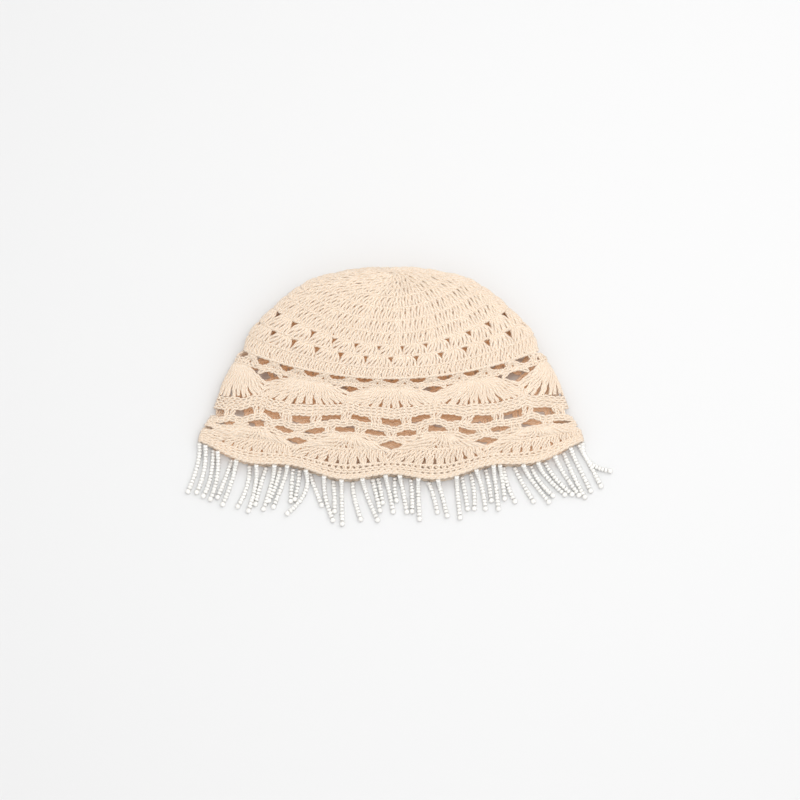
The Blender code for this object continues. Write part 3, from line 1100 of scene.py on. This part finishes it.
UP, DOWN = Layer.UPPER, Layer.LOWER
STRINGS = (
    BeadString(DOWN, -137, -1.5, -16, -8, -35),
    BeadString(UP, -131, -1.5, -19, -6.5, -33.5),
    BeadString(DOWN, -126, -2, -20.5, -7, -33.5),
    BeadString(UP, -122, -1, -19.5, -5.5, -34),
    BeadString(DOWN, -113, -5, -15, -10, -27.5),
    BeadString(UP, -109, -4.5, -16.5, -10, -31),
    BeadString(DOWN, -100, -2, -16, -8.5, -29.5),
    BeadString(UP, -95, -1.5, -16.5, -6, -32),
    BeadString(DOWN, -88, -4, -12.5, -7.5, -27),
    BeadString(UP, -82, -3, -14.5, -8, -30.5),
    BeadString(DOWN, -78, -3, -12.5, -8, -24.5),
    BeadString(UP, -73, -3.5, -11.5, -10, -28.5),
    BeadString(DOWN, -69, -1, -12.5, -1.5, -24),
    BeadString(DOWN, -65, -1.5, -13, -3.5, -21.5),
    BeadString(UP, -60, -1, -15.5, -13.5, -30),
    BeadString(DOWN, -58, 4.5, -12, 9, -23.5),
    BeadString(UP, -47, 1, -14.5, 6.5, -30.5),
    BeadString(DOWN, -41, 1, -11, 1, -22.5),
    BeadString(UP, -35, 0, -13, 0.5, -30.5),
    BeadString(DOWN, -27, 1.5, -12.5, 6, -27),
    BeadString(UP, -20, 4, -12.5, 11, -28.5),
    BeadString(DOWN, -13, 2.5, -10, 5.5, -23),
    BeadString(DOWN, -9, 2, -8.5, 3.5, -18),
    BeadString(UP, -4, 3, -12, 5.5, -25),
    BeadString(DOWN, 3, -0.5, -7, 1, -17),
    BeadString(UP, 6, 2.5, -10.5, 5, -25),
    BeadString(DOWN, 14, 1, -10.5, 1, -23.5),
    BeadString(UP, 19, 0, -12, 1, -28),
    BeadString(DOWN, 26, 3.5, -9, 6.5, -22),
    BeadString(UP, 33, 3, -10, 6.5, -24.5),
    BeadString(UP, 46, 1, -12.5, 2.5, -28.5),
    BeadString(DOWN, 50, 2.5, -13, 4, -23.5),
    BeadString(DOWN, 56, 2.5, -12.5, 2.5, -25.5),
    BeadString(UP, 60, 4.5, -12.5, 6.5, -27),
    BeadString(DOWN, 67, 2.5, -12, 4, -23),
    BeadString(UP, 72, 2, -14, 3.5, -30),
    BeadString(UP, 77, 2, -10, 3.5, -23),
    BeadString(DOWN, 80, 2.5, -12.5, 8, -25),
    BeadString(DOWN, 87, 6, -12, 13.5, -25),
    BeadString(UP, 93, 8, -12, 18.5, -25.5),
    BeadString(DOWN, 99, 6, -11.5, 15.5, -21.5),
    BeadString(UP, 104, 8, -11, 19.5, -22),
    BeadString(DOWN, 109, 8, -12.5, 19.5, -23.5),
    BeadString(UP, 116, 8.5, -14.5, 17.5, -27.5),
    BeadString(DOWN, 122, 7.5, -18, 15, -32.5),
    BeadString(UP, 127, 8, -16.5, 14.5, -30.5),
    BeadString(DOWN, 133, 9, -16.5, 15.5, -30),
    BeadString(DOWN, 136, 5.5, -14, 20, -19.5),
)


class BeadThreader:
    """The Geometry Nodes tree that sets a turned bead on every marked place."""

    AXIS = "axis"
    SIZE = "size"
    CHANCE = 11

    def __init__(self) -> None:
        """Build the tree once."""
        self.nodes, self.known = new_group(
            "bead_threader", "GeometryNodeTree",
            {"Places": "Geometry", "Bead": "Object", "Tilt": "Float", "Finish": "Material"},
            {"Beads": "Geometry"})
        self._wire()

    def _wire(self) -> None:
        """Every place gets a bead, turned to its string and tilted a little by chance."""
        nodes = self.nodes
        given = nodes.add("NodeGroupInput").outputs
        sway = nodes.add("FunctionNodeRandomValue", data_type="FLOAT_VECTOR")
        nodes.feed(sway, {"Min": (-1.0, -1.0, -1.0), "Max": (1.0, 1.0, 1.0),
                          "Seed": self.CHANCE})
        scaled = nodes.add("ShaderNodeVectorMath", operation="SCALE")
        nodes.feed(scaled, {0: sway.outputs["Value"], "Scale": given["Tilt"]})
        leaning = nodes.add("ShaderNodeVectorMath",
                            {0: nodes.named(self.AXIS, "FLOAT_VECTOR"),
                             1: scaled.outputs["Vector"]}, operation="ADD")
        turned = nodes.add("FunctionNodeAlignRotationToVector",
                           {"Vector": leaning.outputs["Vector"]}, axis="Z")
        source = nodes.add("GeometryNodeObjectInfo", {"Object": given["Bead"]})
        beads = nodes.add("GeometryNodeInstanceOnPoints",
                          {"Points": given["Places"], "Instance": source.outputs["Geometry"],
                           "Rotation": turned.outputs["Rotation"],
                           "Scale": nodes.named(self.SIZE, "FLOAT")})
        nodes.end(beads.outputs["Instances"], given["Finish"], "Beads")

    def make(self, name: str, beads: list[tuple[np.ndarray, np.ndarray, np.ndarray]],
             bead: bpy.types.Object, tilt: float,
             finish: bpy.types.Material) -> bpy.types.Object:
        """Set beads on places and keep them as one plain mesh.

        Args:
            name: The piece's name.
            beads: For each string its beads' middles, ways and sizes.
            bead: The bead.
            tilt: How far a bead may lean off its thread.
            finish: The material.

        Returns:
            The piece.
        """
        places, axes, sizes = (np.concatenate(part) for part in zip(*beads))
        data = bpy.data.meshes.new(name + "_places")
        data.vertices.add(len(places))
        data.vertices.foreach_set("co", np.ravel(places))
        data.attributes.new(self.AXIS, "FLOAT_VECTOR", "POINT").data.foreach_set(
            "vector", np.ravel(axes))
        data.attributes.new(self.SIZE, "FLOAT", "POINT").data.foreach_set("value", sizes)
        return evaluated(name, data, self.nodes.tree,
                         {self.known["Bead"]: bead, self.known["Tilt"]: tilt,
                          self.known["Finish"]: finish})


def turned_bead(name: str, profile: tuple[tuple[float, float], ...],
                sides: int) -> bpy.types.Object:
    """A bead turned about Z from its closed profile, with a hole through it.

    Args:
        name: The bead's name.
        profile: Radius and height of each corner, round the wall, in metres.
        sides: Sides of the round.

    Returns:
        The bead, not linked to the scene.
    """
    points, faces = [], []
    corners = len(profile)
    for side in range(sides):
        angle = TURN * side / sides
        points += [(r * math.cos(angle), r * math.sin(angle), z) for r, z in profile]
        here, after = side * corners, (side + 1) % sides * corners
        for k in range(corners):
            nearby = (k + 1) % corners
            faces.append((here + k, after + k, after + nearby, here + nearby))
    data = bpy.data.meshes.new(name)
    data.from_pydata(points, [], faces)
    data.shade_smooth()
    return bpy.data.objects.new(name, data)


SEED_PROFILE = ((0.00045, -0.00098), (0.00128, -0.00112), (0.00174, -0.00060),
                (0.00174, 0.00060), (0.00128, 0.00112), (0.00045, 0.00098))
END_PROFILE = ((0.0004, -0.00185), (0.0010, -0.00172), (0.00172, -0.0010), (0.0020, 0.0),
               (0.00172, 0.0010), (0.0010, 0.00172), (0.0004, 0.00185))


@dataclass
class Fringe:
    """The bead strings: seed beads, a larger bead at each end, and the threads."""

    cloth: Cloth
    sweep: YarnSweep
    threader: BeadThreader
    bead_finish: bpy.types.Material
    thread_finish: bpy.types.Material
    cord_radius: float = 0.00125
    string_radius: float = 0.00190
    bead_radius: float = 0.002
    reach: float = 0.0015
    seat_gap: float = 0.0003
    landing: float = 0.35
    pitch: float = 0.0022
    thread_radius: float = 0.0004
    sizes: tuple[float, float] = (0.94, 1.04)
    seed: int = 23

    def hem_place(self, share: float) -> tuple[np.ndarray, np.ndarray]:
        """Where the hem's last round lies, and the way that the cloth points out there.

        Args:
            share: The share of the way round.

        Returns:
            The place and a unit vector.
        """
        edge, _ = self.cloth.at(np.array([share]), np.array([16.0]))
        inner, _ = self.cloth.at(np.array([share]), np.array([15.5]))
        outward = unit(edge - inner)[0]
        place = edge[0] + outward * (self.cord_radius + self.seat_gap)
        place[2] = max(place[2], self.cord_radius)
        return place, outward

    def share_at(self, hem_x: float, layer: Layer) -> float:
        """The share of the way round where one layer of the hem crosses a distance.

        Args:
            hem_x: How far right of the hem's middle, in millimetres.
            layer: The layer of the hem.

        Returns:
            The share.
        """
        shares = np.arange(720) / 720
        upper = np.abs((shares + 0.5) % 1.0 - 0.5) < 0.25
        places, _ = self.cloth.at(shares, np.full(720, 16.0))
        miss = np.abs(places[:, 0] - self.cloth.middle[0] - hem_x * MM)
        miss[upper != (layer is Layer.UPPER)] = 1.0
        return float(shares[np.argmin(miss)])

    def route(self, string: BeadString, steps: int = 81) -> np.ndarray:
        """The middle of a string, from the hem down to the table and along it.

        Args:
            string: The string.
            steps: Points to measure it with.

        Returns:
            Points, shaped (steps, 3).
        """
        start, outward = self.hem_place(self.share_at(string.hem_x, string.layer))
        start = start + outward * (self.cord_radius / 2)
        bend = start + np.array([string.bend_x, string.bend_y, 0]) * MM
        tip = start + np.array([string.tip_x, string.tip_y, 0]) * MM
        tip = tip + unit(tip - bend) * self.reach
        pull = 2 * bend - (start + tip) / 2
        s = np.linspace(0, 1, steps)[:, None]
        points = (1 - s) ** 2 * start + 2 * s * (1 - s) * pull + s ** 2 * tip
        fall = np.maximum(1 - s[:, 0] / self.landing, 0) ** 2
        rest = self.string_radius
        points[:, 2] = rest + max(start[2] - rest, 0) * fall
        return points

    def thread(self, string: BeadString, chance: np.random.Generator) -> tuple:
        """Thread one string.

        Args:
            string: The string.
            chance: Where the beads' uneven sizes come from.

        Returns:
            The middles, ways and sizes of its seed beads, the same of its end bead, and
            the thread's points.
        """
        points = self.route(string)
        steps = np.linalg.norm(np.diff(points, axis=0), axis=1)
        run = np.concatenate([[0.0], np.cumsum(steps)])
        last = run[-1] - self.bead_radius
        room = last - self.bead_radius
        count = int(room / self.pitch)
        where = room - (np.arange(count) + 0.5) * room / count
        spots = along(run, points, where)
        ahead = along(run, points, where + MM)
        end = along(run, points, last)
        end[2] = self.bead_radius
        seeds = (spots, unit(ahead - spots), chance.uniform(*self.sizes, count))
        tip = (end[None], unit(end - spots[0])[None], np.ones(1))
        line = np.linspace(0, last + self.bead_radius * 1.05, 15)
        return seeds, tip, along(run, points, line)

    def build(self) -> list[bpy.types.Object]:
        """Thread every string.

        Returns:
            The seed beads, the end beads and the threads.
        """
        chance = np.random.default_rng(self.seed)
        seeds, tips, threads = zip(*(self.thread(string, chance) for string in STRINGS))
        small = turned_bead("seed_bead", SEED_PROFILE, 10)
        large = turned_bead("end_bead", END_PROFILE, 12)
        yarn = Yarn("bead_threads", radius=self.thread_radius)
        yarn.add(np.array(threads))
        pieces = [self.threader.make("seed_beads", seeds, small, 0.16, self.bead_finish),
                  self.threader.make("end_beads", tips, large, 0.1, self.bead_finish),
                  self.sweep.make(yarn, self.thread_finish)]
        for source in (small, large):
            bpy.data.objects.remove(source)
        for piece in pieces:
            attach(piece, "root")
            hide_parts(Node.FRINGE.value)
            report(piece)
        return pieces


# Finishes


def ply_group() -> bpy.types.NodeTree:
    """The shader group that gives 1 on a ply's crest and 0 in the groove between plies.

    Returns:
        The group's tree.
    """
    nodes, _ = new_group(
        "ply_twist", "ShaderNodeTree",
        dict.fromkeys(("Ring X", "Ring Y", "Along", "Plies", "Lay"), "Float"),
        {"Crest": "Float"})
    given = nodes.add("NodeGroupInput").outputs
    angle = nodes.math("ARCTAN2", given["Ring Y"], given["Ring X"])
    round_part = nodes.math("MULTIPLY", angle, given["Plies"])
    per_metre = nodes.math("DIVIDE", TURN, given["Lay"])
    along_part = nodes.math("MULTIPLY", given["Along"], per_metre)
    wave = nodes.math("SINE", nodes.math("ADD", round_part, along_part))
    crest = nodes.math("MULTIPLY", nodes.math("ADD", wave, 1.0), 0.5)
    nodes.add("NodeGroupOutput", {"Crest": crest})
    return nodes.tree


def fibre_group() -> bpy.types.NodeTree:
    """The shader group for fine fibre relief and a broad unevenness, each 0 to 1.

    Returns:
        The group's tree.
    """
    nodes, _ = new_group(
        "fibre_and_shade", "ShaderNodeTree",
        {"Place": "Vector", "Fibre scale": "Float", "Shade scale": "Float"},
        {"Fibre": "Float", "Shade": "Float"})
    given = nodes.add("NodeGroupInput").outputs
    found = {}
    for name, detail in (("Fibre", 3.0), ("Shade", 2.0)):
        noise = nodes.add("ShaderNodeTexNoise", {"Detail": detail, "Vector": given["Place"],
                                                 "Scale": given[name + " scale"]})
        found[name] = noise.outputs[0]
    nodes.add("NodeGroupOutput", found)
    return nodes.tree


def solid(colour: tuple[float, ...], share: float = 1.0) -> tuple[float, ...]:
    """A colour's share, with no see-through."""
    return (*(part * share for part in colour), 1.0)


def new_material(name: str, constants: dict[str, object]) -> tuple[
        bpy.types.Material, NodeTree, bpy.types.Node]:
    """A new material, its nodes and its shader with the constants set.

    Args:
        name: The material's name.
        constants: The value of each of the shader's inputs that stays the same.

    Returns:
        The material, its nodes and its shader.
    """
    material = bpy.data.materials.new(name)
    material.use_nodes = True
    nodes = NodeTree(material.node_tree)
    shader = material.node_tree.nodes["Principled BSDF"]
    nodes.feed(shader, constants)
    return material, nodes, shader


@dataclass(frozen=True)
class Groups:
    """The shader groups that the finishes share."""

    ply: bpy.types.NodeTree
    fibre: bpy.types.NodeTree

    def crest(self, nodes: NodeTree, plies: float, lay: float) -> object:
        """The crests of twisted plies, by the place stored on the yarn.

        Args:
            nodes: The material's nodes.
            plies: How many plies the yarn has.
            lay: The length of one turn of a ply.

        Returns:
            The socket, 1 on a crest.
        """
        place = nodes.add("ShaderNodeAttribute", attribute_name=YarnSweep.PLACE)
        split = nodes.add("ShaderNodeSeparateXYZ", {0: place.outputs["Vector"]}).outputs
        ply = nodes.add("ShaderNodeGroup", node_tree=self.ply)
        nodes.feed(ply, {"Ring X": split["X"], "Ring Y": split["Y"], "Along": split["Z"],
                         "Plies": plies, "Lay": lay})
        return ply.outputs["Crest"]

    def fibres(self, nodes: NodeTree, place: object, fibre: float, shade: float) -> object:
        """The outputs of loose fibres and uneven shade, by place and by their scales.

        Args:
            nodes: The material's nodes.
            place: The socket of the place on the object.
            fibre: How fine the fibres are.
            shade: How fine the shade is.

        Returns:
            The sockets, by name.
        """
        group = nodes.add("ShaderNodeGroup", node_tree=self.fibre)
        nodes.feed(group, {"Place": place, "Fibre scale": fibre, "Shade scale": shade})
        return group.outputs


@dataclass(frozen=True)
class CottonFinish:
    """Mercerised cotton: matte, with twisted plies and a little fibre, painted shade in the ply
    grooves, and a painted warm glow on the low cloth under the upper layer.
    """

    name: str = "cream_cotton"
    crest: tuple[float, float, float] = (0.86, 0.755, 0.65)
    # Painted shade: the grooves between plies are darker and warmer than the crests.
    groove: tuple[float, float, float] = (0.78, 0.60, 0.43)
    # Painted glow: warm emitted colour on the low cloth under the upper layer, standing in for
    # light through the yarn.
    through: tuple[float, float, float] = (0.17, 0.085, 0.038)
    # Where the painted glow lies: an ellipse round the cap's middle, low down and behind the
    # hem.
    glow_middle: tuple[float, float] = (-0.0056, -0.050)
    glow_half: tuple[float, float] = (0.132, 0.142)
    low: tuple[float, float] = (0.0120, 0.0040)
    behind_hem: tuple[float, float] = (-0.050, -0.036)
    inside: tuple[float, float] = (1.0, 0.88)
    shade: tuple[float, float, float] = (0.97, 0.95, 0.92)
    roughness: float = 0.82
    sheen: float = 0.25
    plies: float = 3.0
    lay: float = 0.0030
    fibre_scale: float = 2600.0
    shade_scale: float = 60.0
    bump: float = 0.00012

    def build(self, groups: Groups) -> bpy.types.Material:
        """Build the material from the shared shader groups.

        Args:
            groups: The shared shader groups.

        Returns:
            The material.
        """
        material, nodes, shader = new_material(self.name, {
            "Roughness": self.roughness, "Sheen Weight": self.sheen, "Sheen Roughness": 0.5,
            "Specular IOR Level": 0.3, "Emission Strength": 1.0})
        crest = groups.crest(nodes, self.plies, self.lay)
        spot = nodes.add("ShaderNodeTexCoord").outputs["Object"]
        fibre = groups.fibres(nodes, spot, self.fibre_scale, self.shade_scale)
        # Painted shade: the colour darkens from the ply crests into the grooves.
        colour = nodes.mix(nodes.math("POWER", crest, 0.45), solid(self.groove),
                           solid(self.crest))
        tone = nodes.mix(fibre["Shade"], colour, solid(self.shade), blend_type="MULTIPLY")
        relief = nodes.math("ADD", crest, nodes.math("MULTIPLY", fibre["Fibre"], 0.6))
        bump = nodes.add("ShaderNodeBump", {"Strength": 0.7, "Distance": self.bump,
                                            "Height": relief})
        # The emission is the painted warm glow; it makes the low cloth glow though it is no
        # lamp.
        nodes.feed(shader, {"Base Color": tone, "Normal": bump.outputs["Normal"],
                            "Emission Color": self._painted_glow(nodes, spot)})
        return material

    def _painted_glow(self, nodes: NodeTree, place: object) -> object:
        """A painted warm glow: emitted colour that stands in for light let through the yarn
        onto the low cloth under the upper layer.

        Args:
            nodes: The material's nodes.
            place: The socket of the place in the cap.

        Returns:
            The painted glow's colour, on the low cloth inside the outline.
        """
        split = nodes.add("ShaderNodeSeparateXYZ", {0: place}).outputs
        scale = (*(1 / half for half in self.glow_half), 0.0)
        shift = (*(-middle / half for middle, half in zip(self.glow_middle,
                                                          self.glow_half)), 0.0)
        moved = nodes.add("ShaderNodeVectorMath", {0: place, 1: scale, 2: shift},
                          operation="MULTIPLY_ADD")
        away = nodes.add("ShaderNodeVectorMath", {0: moved.outputs["Vector"]},
                         operation="LENGTH")
        share = 1.0
        for source, (dark, lit) in ((split["Z"], self.low), (split["Y"], self.behind_hem),
                                    (away.outputs["Value"], self.inside)):
            reach = nodes.add("ShaderNodeMapRange",
                              {"From Min": dark, "From Max": lit, "Value": source},
                              interpolation_type="SMOOTHSTEP")
            share = nodes.math("MULTIPLY", reach.outputs["Result"], share)
        return nodes.mix(share, solid((0.0, 0.0, 0.0)), solid(self.through))


@dataclass(frozen=True)
class BeadFinish:
    """Opaque white glass with a soft lustre, a little uneven, and painted shade where its
    surface turns away from the view.
    """

    name: str = "pearl_white_beads"
    light: tuple[float, float, float] = (0.93, 0.92, 0.89)
    dark: tuple[float, float, float] = (0.84, 0.82, 0.78)
    painted_edge_shade: tuple[float, float, float] = (0.66, 0.65, 0.62)
    # Painted shade: the colour at the beads' edges, where the surface turns away from the view.
    roughness: float = 0.22
    coat: float = 0.5
    fibre_scale: float = 900.0
    shade_scale: float = 330.0

    def build(self, groups: Groups) -> bpy.types.Material:
        """Build the material from the shared shader groups.

        Args:
            groups: The shared shader groups.

        Returns:
            The material.
        """
        material, nodes, shader = new_material(self.name, {
            "Roughness": self.roughness, "Coat Weight": self.coat, "Coat Roughness": 0.08})
        spot = nodes.add("ShaderNodeTexCoord").outputs["Object"]
        fibre = groups.fibres(nodes, spot, self.fibre_scale, self.shade_scale)
        glass = nodes.mix(fibre["Shade"], solid(self.dark), solid(self.light))
        # Painted shade: darker towards the edges seen from the view, by the facing.
        facing = nodes.add("ShaderNodeLayerWeight", {"Blend": 0.5}).outputs["Facing"]
        edge = nodes.mix(nodes.math("POWER", facing, 2.5), glass, solid(self.painted_edge_shade))
        nodes.feed(shader, {"Base Color": edge})
        return material


@dataclass(frozen=True)
class ThreadFinish:
    """Waxed white thread, with painted shade in the grooves between its plies."""

    name: str = "bead_thread"
    colour: tuple[float, float, float] = (0.88, 0.85, 0.80)
    roughness: float = 0.6
    plies: float = 2.0
    lay: float = 0.0012

    def build(self, groups: Groups) -> bpy.types.Material:
        """Build the material from the shared shader groups.

        Args:
            groups: The shared shader groups.

        Returns:
            The material.
        """
        material, nodes, shader = new_material(self.name, {"Roughness": self.roughness})
        crest = groups.crest(nodes, self.plies, self.lay)
        # Painted shade: the thread darkens to three quarters in the grooves between plies.
        tone = nodes.mix(crest, solid(self.colour, 0.75), solid(self.colour))
        nodes.feed(shader, {"Base Color": tone})
        return material


# The studio


@dataclass(frozen=True)
class Lamp:
    """A soft square light: where it hangs, its side in metres and its power in watts."""

    name: str
    place: tuple[float, float, float]
    side: float
    watts: float


LAMPS = (
    Lamp("key", (0.60, 0.45, 1.3), 1.2, 6.0),
    Lamp("top", (0.06, -0.04, 1.5), 0.5, 7.0),
    Lamp("front_fill", (0.4, -1.2, 1.6), 1.2, 1.2),
)


@dataclass
class Studio:
    """The pale floor, the soft light and the camera."""

    middle: tuple[float, float, float] = (0.00078, -0.0032, 0.011)
    elevation: float = 78.0
    lens: float = 110.0
    sensor: float = 36.0
    view_width: float = 0.568
    floor_size: float = 6.0
    floor_colour: tuple[float, float, float] = (0.755, 0.755, 0.755)
    sky_strength: float = 0.75

    def floor(self) -> None:
        """The table top that the cap lies on."""
        half = self.floor_size / 2
        data = bpy.data.meshes.new("table_top")
        data.from_pydata([(-half, -half, 0), (half, -half, 0), (half, half, 0),
                          (-half, half, 0)], [], [(0, 1, 2, 3)])
        table = bpy.data.objects.new("table_top", data)
        bpy.context.scene.collection.objects.link(table)
        material, _, _ = new_material("table_top", {
            "Base Color": solid(self.floor_colour), "Roughness": 0.9,
            "Specular IOR Level": 0.1})
        data.materials.append(material)

    def light(self, lamp: Lamp) -> None:
        """Hang one light so that it faces the cap.

        Args:
            lamp: The light to hang.
        """
        data = bpy.data.lights.new(lamp.name, "AREA")
        data.shape = "SQUARE"
        data.size = lamp.side
        data.energy = lamp.watts
        hung = bpy.data.objects.new(lamp.name, data)
        hung.location = lamp.place
        aim = Vector(self.middle) - Vector(lamp.place)
        hung.rotation_euler = aim.to_track_quat("-Z", "Y").to_euler()
        bpy.context.scene.collection.objects.link(hung)

    def world(self) -> None:
        """Even light from all round."""
        world = bpy.data.worlds.new("studio")
        world.use_nodes = True
        sky = world.node_tree.nodes["Background"]
        sky.inputs["Color"].default_value = (1.0, 1.0, 1.0, 1.0)
        sky.inputs["Strength"].default_value = self.sky_strength
        bpy.context.scene.world = world

    def camera(self) -> None:
        """The camera at the photograph's angle, above the table."""
        data = bpy.data.cameras.new("camera")
        data.lens = self.lens
        data.sensor_width = self.sensor
        distance = self.view_width * self.lens / self.sensor
        tilt = math.radians(self.elevation)
        back = Vector((0, -math.cos(tilt), math.sin(tilt)))
        camera = bpy.data.objects.new("camera", data)
        camera.location = Vector(self.middle) + back * distance
        camera.rotation_euler = (-back).to_track_quat("-Z", "Y").to_euler()
        bpy.context.scene.collection.objects.link(camera)
        bpy.context.scene.camera = camera

    def build(self) -> None:
        """Set the floor, the lights and the camera."""
        self.floor()
        self.world()
        for lamp in LAMPS:
            self.light(lamp)
        self.camera()
        scene = bpy.context.scene
        scene.view_settings.view_transform = "Standard"
        scene.view_settings.look = "None"


def main() -> None:
    """Build the studio, then the cap and its fringe, and report each piece."""
    logging.basicConfig(level=logging.INFO, format="%(name)s: %(message)s")
    Studio().build()
    groups = Groups(ply_group(), fibre_group())
    cotton = CottonFinish().build(groups)
    cloth = Cloth()
    sweep = YarnSweep()
    for part in (Crown, ClusterRounds, Arches, UpperFans, Mesh, LowerFans, Hem):
        part(cloth, sweep, cotton).build()
    Fringe(cloth, sweep, BeadThreader(), BeadFinish().build(groups),
           ThreadFinish().build(groups)).build()


if __name__ == "__main__":
    main()
